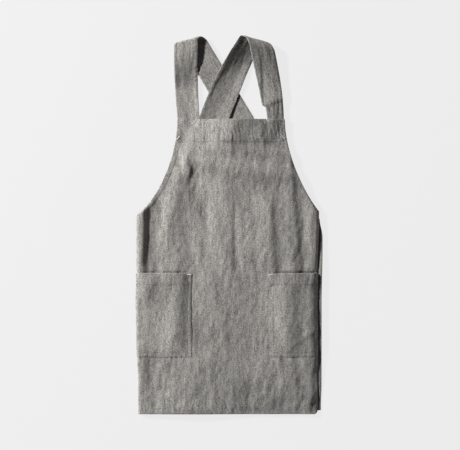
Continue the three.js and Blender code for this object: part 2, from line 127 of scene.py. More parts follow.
# Folds of the front: x in half widths, y in body lengths above the hem, both ends, then millimetres:
# height, and the widths of the left and right flank. On a fold that runs across, left is below.
FOLDS = [
    ("side valley low", -0.862, 0.633, -0.868, 0.523, -5.8, 10, 35),
    ("side strip", -0.936, 0.690, -0.944, 0.560, 3.0, 14, 7),
    ("side swell", -0.938, 0.690, -0.944, 0.490, 1.9, 14, 30),
    ("band pleat", 0.016, 0.925, 0.020, 0.890, 0.9, 16, 8),
    ("pocket crease", 0.725, 0.242, 0.919, 0.286, 1.1, 7, 9),
    ("armhole valley", -0.535, 0.998, -0.738, 0.725, -1.4, 14, 30),
    ("side valley high", -0.785, 0.710, -0.789, 0.514, -3.7, 16, 20),
    ("strap pull", -0.468, 0.859, -0.452, 0.823, 6.5, 13, 11),
    ("left hollow", -0.317, 0.765, -0.523, 0.466, -4.1, 24, 50),
    ("left flank", -0.541, 0.821, -0.652, 0.658, 6.0, 21, 19),
    ("centre ridge", -0.347, 0.620, -0.118, 0.317, 3.1, 28, 30),
    ("middle swell", -0.024, 0.730, 0.204, 0.534, 6.5, 50, 39),
    ("upper cross ridge", -0.504, 0.900, 0.470, 0.885, 4.1, 20, 13),
    ("lower cross ridge", -0.168, 0.850, 0.717, 0.800, 4.0, 20, 21),
    ("right pull", 0.659, 0.807, 0.703, 0.617, 5.2, 41, 13),
    ("right swell", 0.400, 0.624, 0.620, 0.302, 6.5, 46, 45),
    ("hem diagonal", 0.114, 0.123, 0.404, 0.122, 6.5, 50, 40),
    ("left pocket ridge", -0.542, 0.474, -0.603, 0.274, 4.5, 21, 20),
    ("right pocket ridge", 0.684, 0.516, 0.650, 0.301, 4.1, 26, 18),
    ("bib left dip", -0.265, 1.000, -0.541, 1.007, -6.5, 50, 46),
    ("left pocket dip", -0.874, 0.269, -0.795, 0.056, -2.4, 16, 50),
    ("hem corner dip", 0.962, 0.108, 0.962, -0.007, -6.5, 47, 50),
    ("bib hollow", -0.368, 1.007, -0.555, 0.879, -3.6, 50, 50),
    ("cross swell", -0.204, 0.848, 0.201, 0.811, 6.5, 22, 20),
    ("left low swell", -0.497, 0.276, -0.106, 0.117, 6.5, 50, 42),
    ("hem middle dip", 0.230, 0.002, 0.229, -0.007, -4.4, 48, 50),
    ("hem corner ridge", 0.859, 0.057, 0.832, 0.028, 6.0, 50, 18),
    ("hem corner rim", 0.885, 0.160, 0.870, 0.000, 4.2, 20, 13),
    ("hem right dip", 0.652, 0.032, 0.708, -0.007, -6.5, 50, 50),
    ("right wedge", 0.438, 0.684, 0.454, 0.541, 4.3, 32, 13),
    ("right side strip", 0.877, 0.674, 0.903, 0.542, 4.0, 13, 29),
    ("bib edge dip", -0.580, 1.000, -0.618, 0.848, -6.0, 16, 47),
    ("right armhole dip", 0.621, 0.947, 0.793, 0.859, -6.5, 50, 35),
    ("left low diagonal", -0.214, 0.170, -0.612, 0.046, 5.1, 30, 49),
    ("bib middle dip", 0.054, 0.963, 0.052, 0.925, -2.9, 50, 50),
    ("bib corner dip", -0.602, 1.007, -0.641, 0.957, -3.2, 22, 46),
    ("belly groove", -0.253, 0.688, -0.246, 0.580, -3.3, 15, 16),
    ("right pocket edge", 0.872, 0.435, 0.872, 0.283, 3.2, 34, 10),
    ("belly swell", -0.124, 0.611, 0.020, 0.484, 5.2, 40, 22),
    ("pocket mouth swell", 0.711, 0.483, 0.787, 0.458, 4.6, 13, 15),
    ("low right ridge", 0.675, 0.106, 0.740, 0.064, 5.7, 37, 16),
    ("centre line", 0.057, 0.669, 0.062, 0.532, -1.6, 5, 9),
    ("left mouth swell", -0.831, 0.456, -0.895, 0.413, 4.9, 23, 28),
    ("pull dip", -0.540, 0.863, -0.396, 0.790, -4.8, 16, 24),
    ("left pocket swell", -0.798, 0.218, -0.480, 0.180, 6.4, 25, 33),
    ("right cross ridge", 0.018, 0.866, 0.456, 0.827, 4.2, 18, 14),
    ("bib left swell", -0.121, 0.911, 0.018, 0.959, 2.2, 22, 20),
    ("left low dip", -0.781, 0.198, -0.840, 0.109, -1.2, 12, 8),
    ("far cross ridge", 0.036, 0.891, 0.419, 0.829, 2.8, 19, 13),
    ("left groove", -0.677, 0.628, -0.392, 0.515, -1.5, 11, 16),
    ("hem left swell", -0.271, 0.010, -0.438, 0.018, 4.8, 19, 22),
]
FOLD_END = 10  # how far a fold fades out beyond its ends
FOLD_TAPER = 0.4  # and this share of its length more

# Crumples: how far x leans on y and y on x, grain across and along, height
CRUMPLES = [
    (0.12, 0, 15, 70, 0.7),
    (-0.25, 0, 11, 34, 0.6),
    (0, -0.3, 7, 13, 0.42),
]
CRUMPLE_TURN = 9
LATTICE = 128


def smooth(low, high, v):
    t = np.clip((v - low) / (high - low), 0, 1)
    return t * t * (3 - 2 * t)


def mix(a, b, t):
    return a + (b - a) * t


def at_least(low, v, blend=1.5):
    """v where it is well above low, and softly no lower than low."""
    return low + blend * np.logaddexp(0, (v - low) / blend)


def ridge(x, y, ax, ay, bx, by, height, left, right):
    """A soft fold from (ax, ay) to (bx, by) in millimetres, fading out beyond both ends."""
    dx, dy = bx - ax, by - ay
    long = math.hypot(dx, dy)
    along = ((x - ax) * dx + (y - ay) * dy) / long
    across = ((x - ax) * dy - (y - ay) * dx) / long
    flank = np.where(across < 0, right, left)
    past = np.maximum(0, np.maximum(-along, along - long)) / (FOLD_END + FOLD_TAPER * long)
    return height * np.exp(-((across / flank) ** 2) - past * past)


def fold_lift(x, y):
    half = WIDTH / 2
    lift = np.zeros(np.broadcast(x, y).shape)
    for _, x0, y0, x1, y1, height, left, right in FOLDS:
        ends = (x0 * half, HEM_Y + y0 * BODY_LENGTH, x1 * half, HEM_Y + y1 * BODY_LENGTH)
        lift += ridge(x, y, *ends, height, left, right)
    return lift


def value_noise(x, y, across, along, seed):
    """Smooth noise from -1 to 1 whose grains measure across by along."""
    rng = np.random.default_rng(seed)
    lattice = rng.uniform(-1, 1, (LATTICE, LATTICE))
    u, v = x / across + LATTICE / 2, y / along + LATTICE / 2
    i, j = np.floor(u).astype(int), np.floor(v).astype(int)
    fu, fv = u - i, v - j
    fu, fv = fu * fu * (3 - 2 * fu), fv * fv * (3 - 2 * fv)

    def at(a, b):
        return lattice[a % LATTICE, b % LATTICE]

    low = mix(at(i, j), at(i + 1, j), fu)
    high = mix(at(i, j + 1), at(i + 1, j + 1), fu)
    return mix(low, high, fv)


def crumple(x, y, seed, size=1.0):
    """Small soft creases of washed cloth, longer than wide."""
    turn = value_noise(x, y, 60, 90, seed) * CRUMPLE_TURN
    total = 0
    for k, (lean_x, lean_y, across, along, height) in enumerate(CRUMPLES, 1):
        total = total + height * value_noise(x + lean_x * y + turn, y + lean_y * x, across, along, seed + k)
    return size * total


def pucker(x, y, distance, pitch, reach, height, seed):
    """Little waves that a line of stitches pulls into the cloth on both sides of it."""
    drift = value_noise(x, y, 22, 22, seed) * pitch * 0.8
    wave = np.sin(2 * np.pi * (x + drift) / pitch)
    strength = 0.55 + 0.45 * value_noise(x, y, 30, 30, seed + 1)
    return height * wave * strength * np.exp(-((distance / reach) ** 2))


def side_lift(side, y):
    """How far the side seam and the back panel under it stand off the surface."""
    return SIDE_LIFT[side] * (smooth(*RIGHT_LIFT_FADE, y) if side == "right" else 1)


def edge_x(side, y):
    """The front's edge: the side seam, and from the underarm up the armhole's curve."""
    corner = UNDERARM_Y[side]
    t = np.clip((y - corner) / (BIB_Y - corner), 0, 1)
    share = (1 - HOOK[side]) * (1 - (1 - t) ** BEND[side]) + HOOK[side] * (1 - (1 - t) ** HOOK_POWER)
    flare = UNDERARM_FLARE[side] * smooth(0, FLARE_REACH[side], y - POCKET_TOP_Y)
    if side == "left":
        flare = flare - SIDE_BULGE * np.exp(-(((y - BULGE_Y) / BULGE_REACH) ** 2))
        flare = flare + HEM_INSET * smooth(*HEM_INSET_FADE, y)
    return mix(EDGE[side] + flare, BIB_EDGE[side], share)


def from_side(side, x):
    """Distance from the front's straight side edge."""
    return x - LEFT_X if side == "left" else RIGHT_X - x


def share_at(side, distance):
    """Share of the front's width at a distance from that edge."""
    return distance / FRONT_WIDTH if side == "left" else 1 - distance / FRONT_WIDTH


def pocket_share(side, x, y):
    """How far a pocket stands up at a place: 0 outside and at its seams, 1 where it has its full room."""
    outer = from_side(side, x)
    low = smooth(0, POCKET_BASE_SLOPE, y - POCKET_BOTTOM_Y)
    inner = smooth(0, POCKET_SLOPE, POCKET_WIDTH[side] - outer)
    return inner * smooth(0, POCKET_SIDE_SLOPE[side], outer) * low


def plain_height(x, y):
    """Height of the front's middle layer, with its folds, crumples and puckered hems."""
    bib = smooth(UNDERARM_Y["left"], BIB_Y, y)
    from_crease = np.abs(x - BIB_SHIFT) / (BIB_WIDTH / 2)
    bib_hem_y = BIB_Y - BIB_HEM_DEPTH
    tent = BIB_TENT * smooth(bib_hem_y + TENT_FADE[0], bib_hem_y + TENT_FADE[1], y)
    crease = np.maximum(0, 1 - from_crease) * (bib * CREASE_HEIGHT + tent)
    from_hem = y - (HEM_Y + HEM_DEPTH * 0.7)
    from_bib_hem = y - (BIB_Y - BIB_HEM_DEPTH * 0.6)
    hem = pucker(x + 0.5 * (y - HEM_Y), y, from_hem, pitch=10, reach=15, height=0.6, seed=11)
    bib_hem = pucker(x + 0.1 * y, y, from_bib_hem, pitch=10, reach=30, height=0.38, seed=21)
    waves = crumple(x, y, 31) + hem + bib_hem
    height = mix(SKIRT_HEIGHT, BIB_HEIGHT, bib) + crease + fold_lift(x, y)
    return at_least(LOWEST, height) + waves


def front_height(x, y):
    """The plain height, sunk behind the pockets' mouths."""
    above = 1 - smooth(0, POCKET_TRENCH_REACH, y - POCKET_TOP_Y)
    sunk = np.maximum(pocket_share("left", x, y), pocket_share("right", x, y)) * above
    return plain_height(x, y) - POCKET_TRENCH * sunk


def front_columns(start=0.0, stop=1.0):
    """Shares of the front's width, and how far each column has turned up from either side seam."""
    turns = np.linspace(0, math.pi / 2, TURN_STEPS)
    left_share = ROUND["left"] * (1 - np.cos(turns)) / FRONT_WIDTH
    right_share = 1 - ROUND["right"] * (1 - np.cos(turns[::-1])) / FRONT_WIDTH
    count = int(round((right_share[0] - left_share[-1]) * FRONT_WIDTH / CELL))
    middle = np.linspace(left_share[-1], right_share[0], count + 1)[1:-1]
    full = np.ones(len(middle) + TURN_STEPS)
    share = np.concatenate([left_share, middle, right_share])
    left = np.concatenate([np.sin(turns), full])
    right = np.concatenate([full, np.sin(turns[::-1])])
    keep = (share >= start - 1e-9) & (share <= stop + 1e-9)
    return share[keep], left[keep], right[keep]


def front_grid(columns, rows, height):
    """Middle layer of the front: columns from front_columns, rows as (left y, right y)."""
    share, left, right = (c[:, None] for c in columns)
    row_left, row_right = (r[None, :] for r in rows)
    y0 = mix(row_left, row_right, share)
    from_hem = 1 - smooth(0, HEM_DEPTH, y0 - HEM_Y)
    y = y0 + HEM_CORNER * (1 - right) * from_hem
    x = mix(edge_x("left", row_left), edge_x("right", row_right), share)
    z = height(x, y)
    for side, turn, row in (("left", left, row_left), ("right", right, row_right)):
        above = smooth(0, ARMHOLE_SETTLE, row - UNDERARM_Y[side])
        z = mix(SEAM_REST[side] + side_lift(side, row), z, mix(turn, 1, above))
    return np.stack([x + 0 * z, y + 0 * z, z], axis=2)


def normals_of(grid):
    across = np.gradient(grid, axis=0)
    along = np.gradient(grid, axis=1)
    normal = np.cross(across, along)
    return normal / np.linalg.norm(normal, axis=2, keepdims=True)


def near(distance):
    """A distance to a line of stitches, cut off where the material takes no notice of it."""
    return np.clip(distance, -SEAM_FAR, SEAM_FAR)


class Sheet:
    """A closed sheet of cloth with rounded edges, made from a grid of middle points."""

    def __init__(self, grid, over, under, flat, crop=None, seam=None, second_seam=None):
        normal = normals_of(grid)
        over = np.broadcast_to(over, grid.shape[:2])[:, :, None]
        under = np.broadcast_to(under, grid.shape[:2])[:, :, None]
        cut = crop or (slice(None), slice(None))
        self.normal = normal[cut]
        self.top = (grid + normal * over)[cut]
        self.bottom = (grid - normal * under)[cut]
        self.flat = flat[cut]
        fields = {"seam": seam, "second_seam": second_seam}
        self.seams = {name: field[cut] for name, field in fields.items() if field is not None}

    def build(self, name):
        n, m = self.top.shape[:2]
        index = np.arange(n * m).reshape(n, m)
        loop = np.concatenate([index[:, 0], index[-1, 1:], index[-2::-1, -1], index[0, -2:0:-1]])
        out = self._outward(loop)
        top = self.top.reshape(-1, 3)
        bottom = self.bottom.reshape(-1, 3)
        centre = (top[loop] + bottom[loop]) / 2
        half = (top[loop] - bottom[loop]) / 2
        size = np.linalg.norm(half, axis=1, keepdims=True)
        rings = []
        for k in range(1, RIM_STEPS + 1):
            angle = -math.pi / 2 + math.pi * k / (RIM_STEPS + 1)
            rings.append(centre + half * math.sin(angle) + out * size * math.cos(angle))
        points = np.concatenate([top, bottom] + rings)
        a, b, c, d = index[:-1, :-1], index[1:, :-1], index[1:, 1:], index[:-1, 1:]
        upper = np.stack([a, b, c, d], axis=2).reshape(-1, 4)
        lower = np.stack([d, c, b, a], axis=2).reshape(-1, 4) + n * m
        bands = [loop + n * m]
        bands += [2 * n * m + k * len(loop) + np.arange(len(loop)) for k in range(RIM_STEPS)]
        bands.append(loop)
        rim = []
        for low, high in zip(bands, bands[1:]):
            rim.append(np.stack([low, np.roll(low, -1), np.roll(high, -1), high], axis=1))
        faces = np.concatenate([upper, lower] + rim)
        flat = self.flat.reshape(-1, 2)
        flat = np.concatenate([flat, flat] + [flat[loop]] * RIM_STEPS)
        obj = mesh_object(name, points, faces, flat)
        for attribute, field in self.seams.items():
            field = field.reshape(-1)
            field = np.concatenate([field, field * 0 + SEAM_FAR] + [field[loop]] * RIM_STEPS)
            layer = obj.data.attributes.new(attribute, "FLOAT", "POINT")
            layer.data.foreach_set("value", field.astype(np.float32))
        return obj

    def _outward(self, loop):
        """Directions out of the sheet at the points of its edge."""
        grid = (self.top + self.bottom) / 2
        step = np.zeros_like(grid)
        step[0] += grid[0] - grid[1]
        step[-1] += grid[-1] - grid[-2]
        step[:, 0] += unit(grid[:, 0] - grid[:, 1])
        step[:, -1] += unit(grid[:, -1] - grid[:, -2])
        out = step.reshape(-1, 3)[loop]
        normal = self.normal.reshape(-1, 3)[loop]
        out = out - normal * (out * normal).sum(axis=1, keepdims=True)
        return unit(out)

    def sample(self, i, j, below=False):
        """Points and normals of the upper or the lower face at fractional columns and rows."""
        n, m = self.top.shape[:2]
        i, j = np.clip(i, 0, n - 1.001), np.clip(j, 0, m - 1.001)
        a, b = np.floor(i).astype(int), np.floor(j).astype(int)
        fi, fj = (i - a)[:, None], (j - b)[:, None]
        found = []
        for field in (self.bottom, -self.normal) if below else (self.top, self.normal):
            low = mix(field[a, b], field[a + 1, b], fi)
            high = mix(field[a, b + 1], field[a + 1, b + 1], fi)
            found.append(mix(low, high, fj))
        return found[0], unit(found[1])


def unit(v):
    return v / np.maximum(np.linalg.norm(v, axis=-1, keepdims=True), 1e-9)


def mesh_object(name, points, faces, flat=None):
    mesh = bpy.data.meshes.new(name)
    mesh.vertices.add(len(points))
    mesh.vertices.foreach_set("co", (np.asarray(points) * MM).astype(np.float32).ravel())
    faces = np.asarray(faces)
    corners = faces.shape[1]
    mesh.loops.add(faces.size)
    mesh.loops.foreach_set("vertex_index", faces.astype(np.int32).ravel())
    mesh.polygons.add(len(faces))
    mesh.polygons.foreach_set("loop_start", np.arange(0, faces.size, corners, dtype=np.int32))
    mesh.update(calc_edges=True)
    mesh.shade_smooth()
    if flat is not None:
        layer = mesh.uv_layers.new(name="cloth")
        layer.data.foreach_set("uv", (flat[faces.ravel()] * MM).astype(np.float32).ravel())
    obj = bpy.data.objects.new(name, mesh)
    bpy.context.scene.collection.objects.link(obj)
    return obj


# Materials. Yarns: grain across and along in millimetres, detail, roughness, shift of the noise, weight
YARNS = [
    (4.0, 14, 2, 0.6, 0.0, 0.75),
    (2.7, 3.9, 2, 0.6, 3.1, 1.0),
    (3.0, 2.3, 1, 0.5, 7.7, 0.9),
    (0.75, 14, 1, 0.5, 11.3, 0.3),
    (9, 60, 2, 0.5, 5.9, 0.5),
]
YARN_RANGE = (1.38, 2.08)  # of the weighted sum, from the dark yarn to the light one
LIGHT_YARN = (0.424, 0.407, 0.378)
DARK_YARN = (0.106, 0.103, 0.098)
# Painted shade: the cloth's colour is multiplied by this along its lines of stitches, darker as if shade
# fell into their grooves.
PAINTED_GROOVE_SHADE = (0.8, 0.79, 0.78)
GROOVE_WIDTH = 1.3


def chambray(name, second):
    """Woven cloth with a groove along its stitches, dented by the bump and darkened by painted shade; second
    is how deep the second line's groove and its painted shade are.
    """
    material = bpy.data.materials.new(name)
    material.use_nodes = True
    tree = material.node_tree
    nodes, links = tree.nodes, tree.links
    shader = nodes["Principled BSDF"]
    shader.inputs["Roughness"].default_value = 0.92
    shader.inputs["Specular IOR Level"].default_value = 0.12
    shader.inputs["Sheen Weight"].default_value = 0.12
    shader.inputs["Sheen Roughness"].default_value = 0.5
    place = nodes.new("ShaderNodeUVMap")
    place.uv_map = "cloth"

    def noise(across, along, detail, rough, shift):
        mapping = nodes.new("ShaderNodeMapping")
        mapping.inputs["Location"].default_value = (shift, shift * 0.7, shift)
        mapping.inputs["Scale"].default_value = (1 / across, 1 / along, 1)
        grain = nodes.new("ShaderNodeTexNoise")
        grain.inputs["Scale"].default_value = 1 / MM
        grain.inputs["Detail"].default_value = detail
        grain.inputs["Roughness"].default_value = rough
        links.new(place.outputs["UV"], mapping.inputs["Vector"])
        links.new(mapping.outputs["Vector"], grain.inputs["Vector"])
        return grain.outputs["Fac"]

    def sum_up(kind, *values):
        node = nodes.new("ShaderNodeMath")
        node.operation = kind
        for k, value in enumerate(values):
            if isinstance(value, (int, float)):
                node.inputs[k].default_value = value
            else:
                links.new(value, node.inputs[k])
        return node.outputs[0]

    mixed = None
    for *grain, weight in YARNS:
        part = sum_up("MULTIPLY", noise(*grain), weight)
        mixed = part if mixed is None else sum_up("ADD", mixed, part)
    ramp = nodes.new("ShaderNodeMapRange")
    ramp.inputs["From Min"].default_value = YARN_RANGE[0]
    ramp.inputs["From Max"].default_value = YARN_RANGE[1]
    links.new(mixed, ramp.inputs["Value"])
    colour = nodes.new("ShaderNodeMix")
    colour.data_type = "RGBA"
    colour.inputs["A"].default_value = (*DARK_YARN, 1)
    colour.inputs["B"].default_value = (*LIGHT_YARN, 1)
    links.new(ramp.outputs["Result"], colour.inputs["Factor"])

    def groove_bump_and_painted_shade_at(attribute, depth):
        field = nodes.new("ShaderNodeAttribute")
        field.attribute_name = attribute
        groove = nodes.new("ShaderNodeMapRange")
        groove.interpolation_type = "SMOOTHSTEP"
        groove.inputs["From Min"].default_value = 0.0
        groove.inputs["From Max"].default_value = GROOVE_WIDTH
        groove.inputs["To Min"].default_value = depth
        groove.inputs["To Max"].default_value = 0.0
        links.new(sum_up("ABSOLUTE", field.outputs["Fac"]), groove.inputs["Value"])
        return groove.outputs["Result"]

    # Painted shade: near each line of stitches the colour is darkened as if shade fell into its groove; the
    # same field also dents the bump.
    groove_bump_and_painted_shade = sum_up("ADD", groove_bump_and_painted_shade_at("seam", 1.0), groove_bump_and_painted_shade_at("second_seam", second))
    shade = nodes.new("ShaderNodeMix")
    shade.data_type = "RGBA"
    shade.blend_type = "MULTIPLY"
    shade.inputs["B"].default_value = (*PAINTED_GROOVE_SHADE, 1)
    links.new(sum_up("MULTIPLY", groove_bump_and_painted_shade, 0.5), shade.inputs["Factor"])
    links.new(colour.outputs["Result"], shade.inputs["A"])
    links.new(shade.outputs["Result"], shader.inputs["Base Color"])

    height = sum_up("ADD", sum_up("MULTIPLY", mixed, 0.35), sum_up("MULTIPLY", groove_bump_and_painted_shade, -0.3))
    bump = nodes.new("ShaderNodeBump")
    bump.inputs["Strength"].default_value = 0.55
    bump.inputs["Distance"].default_value = 0.7 * MM
    links.new(height, bump.inputs["Height"])
    links.new(bump.outputs["Normal"], shader.inputs["Normal"])
    return material


def plain(name, colour, roughness=0.8):
    material = bpy.data.materials.new(name)
    material.use_nodes = True
    shader = material.node_tree.nodes["Principled BSDF"]
    shader.inputs["Base Color"].default_value = (*colour, 1)
    shader.inputs["Roughness"].default_value = roughness
    shader.inputs["Specular IOR Level"].default_value = 0.2
    return material


CLOTH_MATERIAL = chambray("chambray", second=0.0)
POCKET_MATERIAL = chambray("chambray_pocket", second=1.2)
THREAD = plain("thread_grey", (0.2, 0.195, 0.19))
WHITE_THREAD = plain("thread_white", (0.75, 0.74, 0.7))


# Stitches
STITCH_LENGTH = 2.5
STITCH_PITCH = 3.4
THREAD_RADIUS = 0.24
THREAD_SIDES = 6
# Rings of a stitch: share of its length, share of the thread's radius, lift in radii
STITCH_RINGS = [(0.0, 0.45, -0.5), (0.2, 1.0, 0.35), (0.8, 1.0, 0.35), (1.0, 0.45, -0.5)]
TACK_RADIUS = 0.42
TACK_LIFT = 0.6
TACK_LENGTH = 9.0
TACK_WIDTH = 1.9
TACK_TURNS = 15
TACK_SLANT = 0.25


def finish_thread(obj, material):
    obj.data.materials.append(material)
    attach(obj, "root")
    return obj


def finish_cloth(obj, material, node):
    obj.data.materials.append(material)
    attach(obj, "root")
    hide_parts(node)
    return obj


def stitch_mesh(name, lines, radius=THREAD_RADIUS, material=THREAD):
    """Short rounded threads from each start to each end of the lines, all in one mesh."""
    starts, ends, ups = (np.concatenate([line[k] for line in lines]) for k in range(3))
    along = unit(ends - starts)
    side = unit(np.cross(along, ups))
    up = np.cross(side, along)
    rings = []
    for share, size, lift in STITCH_RINGS:
        centre = mix(starts, ends, share) + up * radius * lift
        for k in range(THREAD_SIDES):
            angle = 2 * math.pi * (k + 0.5) / THREAD_SIDES
            rings.append(centre + (side * math.cos(angle) + up * math.sin(angle)) * radius * size)
    points = np.stack(rings, axis=1)
    quads = []
    for ring in range(len(STITCH_RINGS) - 1):
        for k in range(THREAD_SIDES):
            low, high = ring * THREAD_SIDES, (ring + 1) * THREAD_SIDES
            after = (k + 1) % THREAD_SIDES
            quads.append((low + k, low + after, high + after, high + k))
    last = (len(STITCH_RINGS) - 1) * THREAD_SIDES
    for cap in (list(range(THREAD_SIDES))[::-1], [last + k for k in range(THREAD_SIDES)]):
        quads.append((cap[0], cap[1], cap[2], cap[3]))
        quads.append((cap[0], cap[3], cap[4], cap[5]))
    quads = np.array(quads)
    faces = (quads[None] + (np.arange(len(starts)) * len(rings))[:, None, None]).reshape(-1, 4)
    return finish_thread(mesh_object(name, points.reshape(-1, 3), faces), material)


def along_line(sheet, i, j, below=False):
    """Starts, ends and normals of stitches along a line of the sheet, given as columns and rows."""
    points, normals = sheet.sample(np.asarray(i, float), np.asarray(j, float), below)
    walked = np.concatenate([[0], np.cumsum(np.linalg.norm(np.diff(points, axis=0), axis=1))])
    places = np.arange(STITCH_PITCH * 0.5, walked[-1] - STITCH_LENGTH, STITCH_PITCH)

    def at(s, field):
        return np.stack([np.interp(s, walked, field[:, k]) for k in range(3)], axis=1)

    return at(places, points), at(places + STITCH_LENGTH, points), unit(at(places, normals))


def tack(sheet, i, j, direction, length=TACK_LENGTH):
    """A bar tack: close stitches laid side by side across a short line on the sheet."""
    point, up = (found[0] for found in sheet.sample(np.array([i]), np.array([j])))
    centre = point + up * TACK_LIFT
    direction = unit(direction - up * (direction @ up))
    side = np.cross(up, direction)
    places = np.linspace(-length / 2, length / 2, TACK_TURNS)[:, None]
    half = (side + TACK_SLANT * direction) * TACK_WIDTH / 2
    middle = centre + places * direction
    return middle - half, middle + half, np.repeat(up[None], TACK_TURNS, axis=0)


# Front panel
columns = front_columns()
rows_below = int(round((UNDERARM_Y["left"] - HEM_Y) / CELL))
rows_above = int(round(ARMHOLE["left"] / CELL))
rows = tuple(
    np.concatenate([
        np.linspace(HEM_Y, UNDERARM_Y[side], rows_below + 1),
        np.linspace(UNDERARM_Y[side], BIB_Y, rows_above + 1)[1:],
    ])
    for side in SIDES
)
left_edge, right_edge = edge_x("left", rows[0]), edge_x("right", rows[1])
grid = front_grid(columns, rows, front_height)
x, y = grid[:, :, 0], grid[:, :, 1]
seam = np.minimum(y - (HEM_Y + HEM_DEPTH), (BIB_Y - BIB_HEM_DEPTH) - y)
for side, inner in (("left", x - left_edge[None, :]), ("right", right_edge[None, :] - x)):
    above = smooth(-6, 6, y - UNDERARM_Y[side])
    seam = np.minimum(seam, mix(1.5 * SEAM_FAR, inner - ARMHOLE_HEM, above))
hem_extra = HEM_DOUBLED * (smooth(1.5, -1.5, seam) * columns[1][:, None] * columns[2][:, None])
front = Sheet(grid, CLOTH / 2 + hem_extra, CLOTH / 2, grid[:, :, :2].copy(), seam=near(seam))
front_cloth = finish_cloth(front.build("front_cloth"), CLOTH_MATERIAL, "front_panel")

# Seams across the bib's corners, from the strap down to the armhole
CORNER_SEAMS = [((-82.3, 253.0), (-127.9, 210.0)), ((99.0, 249.6), (135.0, 212.0))]
column_index = np.arange(len(columns[0]))
row_index = np.arange(len(rows[0]))
bib_row = np.interp(BIB_Y - BIB_HEM_DEPTH, rows[0], row_index)


def front_place(px, py):
    """Column and row of the front at a place in its plan."""
    j = np.interp(py, rows[0], row_index)
    left = np.interp(py, rows[0], left_edge)
    right = np.interp(py, rows[1], right_edge)
    return np.interp((px - left) / (right - left), columns[0], column_index), j


def front_lines():
    """Stitches along the skirt's hem, both armholes, the bib's hem and across the bib's corners."""
    width_here = right_edge - left_edge
    hem_row = np.interp(HEM_Y + HEM_DEPTH, rows[0], row_index)
    lines = [along_line(front, column_index[3:-3], np.full(len(column_index) - 6, hem_row))]
    above = row_index[rows_below:]
    for side in SIDES:
        hem = ARMHOLE_HEM / width_here[above]
        share = hem if side == "left" else 1 - hem
        lines.append(along_line(front, np.interp(share, columns[0], column_index), above))
    bib_share = ARMHOLE_HEM / width_here[int(bib_row)]
    bib_columns = np.interp(np.linspace(bib_share, 1 - bib_share, 160), columns[0], column_index)
    lines.append(along_line(front, bib_columns, np.full(160, bib_row)))
    for (ax, ay), (bx, by) in CORNER_SEAMS:
        places = [front_place(mix(ax, bx, t), mix(ay, by, t)) for t in np.linspace(0, 1, 40)]
        lines.append(along_line(front, [p[0] for p in places], [p[1] for p in places]))
    return lines


front_stitches = stitch_mesh("front_stitches", front_lines())

# Pockets
SEAM_ROWS = (2.2, 9.0)  # lines of stitches, from the pocket's edge
BASE_GROOVE = 10.5  # the second line's groove along the base, dented by the bump and darkened with painted shade
EDGE_DOUBLED = 0.3  # the turned-in edge
MOUTH_DOUBLED = 0.5
EDGE_THIN = 0.95
EDGE_THIN_REACH = 20
TACK_INSET = {"left": 6, "right": 1.5}  # from the inner seam
TACK_DROP = 2.6  # below the mouth
SPARE = 2  # rows and columns made beyond a pocket's edges and cut off again
POCKET_SEED = {"left": 71, "right": 83}


def pocket_columns(side):
    """The front's columns behind a pocket, moved so that one lies on its inner seam."""
    width = POCKET_WIDTH[side]
    far = share_at(side, width + SPARE * CELL)
    share, left, right = front_columns(0.0, far) if side == "left" else front_columns(far, 1.0)
    at_seam = share_at(side, width)
    if side == "left":
        share[-1 - SPARE:] = at_seam + (share[-1 - SPARE:] - share[-1 - SPARE])
    else:
        share[:SPARE + 1] = at_seam + (share[:SPARE + 1] - share[SPARE])
    return share, left, right


